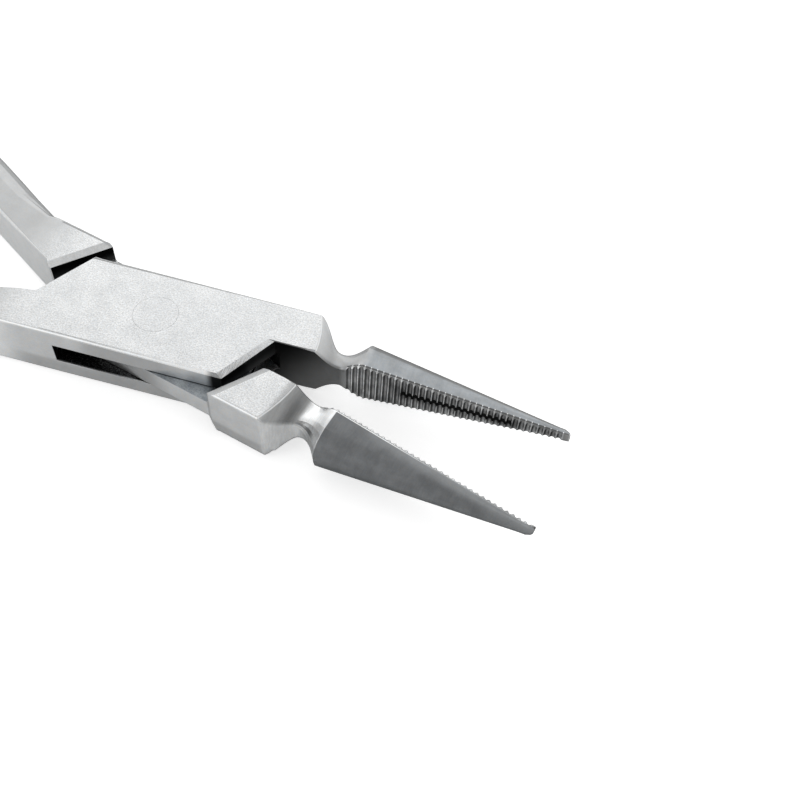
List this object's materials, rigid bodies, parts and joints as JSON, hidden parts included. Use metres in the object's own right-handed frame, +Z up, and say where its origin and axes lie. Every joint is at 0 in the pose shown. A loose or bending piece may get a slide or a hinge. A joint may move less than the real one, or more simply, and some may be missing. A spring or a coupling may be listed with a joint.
{
  "type": "root tip extraction forceps",
  "caption": "Slender box-joint forceps with tapering serrated jaws and plain bow handles, for gripping broken root tips.",
  "frame": {"origin": "on the pivot axis, at the underside that the forceps rests on", "axes": "+X along the bisector of the two halves towards the jaw tips, +Y towards the female half's jaw, +Z up out of the flat side"},
  "size_m": [0.1497, 0.0582, 0.007],
  "materials": {
    "satin_steel": "satin blasted stainless steel with brushed side walls",
    "pin_steel": "stainless pin ground flush with the plates"
  },
  "bodies": {
    "female": {"female_half": "satin_steel", "pivot_pin": "pin_steel"},
    "male": {"male_half": "satin_steel"}
  },
  "joints": [
    {"name": "box_joint", "type": "hinge", "parent": "female", "child": "male", "pos_m": [0, 0, 0.0035], "axis": [0, 0, -1], "range_deg": [-14.2, 20]}
  ]
}
